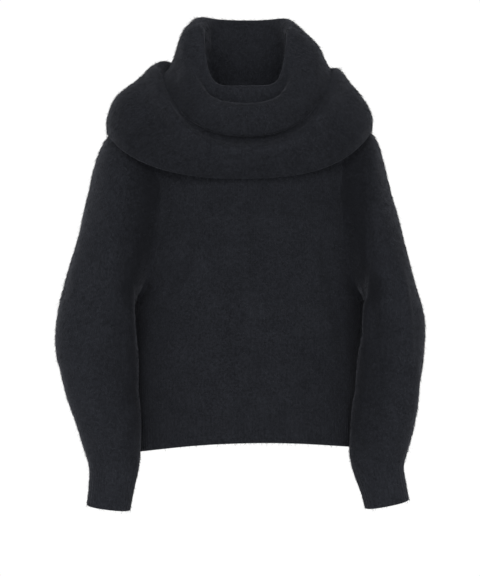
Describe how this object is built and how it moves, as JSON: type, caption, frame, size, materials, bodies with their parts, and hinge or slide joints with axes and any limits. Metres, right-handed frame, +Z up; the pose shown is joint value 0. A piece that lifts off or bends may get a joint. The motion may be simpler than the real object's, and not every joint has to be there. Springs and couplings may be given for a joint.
{
  "type": "sweater",
  "caption": "Brushed knit sweater with a wide turned-over cowl neck, balloon sleeves and ribbed hem and cuffs, filled out as worn with nobody in it.",
  "frame": {"origin": "middle of the base of the neck, at shoulder level, where the garment rests on its wearer", "axes": "+X to the viewer's right, +Y from the front to the back, +Z up"},
  "size_m": [0.576, 0.2843, 0.7891],
  "materials": {
    "knit": "brushed knit with a short nap",
    "rib": "brushed rib knit"
  },
  "bodies": {
    "root": {"front_panel": "knit", "back_panel": "knit", "front_hem_rib": "rib", "back_hem_rib": "rib", "left_sleeve": "knit", "right_sleeve": "knit", "left_cuff": "rib", "right_cuff": "rib", "collar": "knit"}
  },
  "joints": []
}
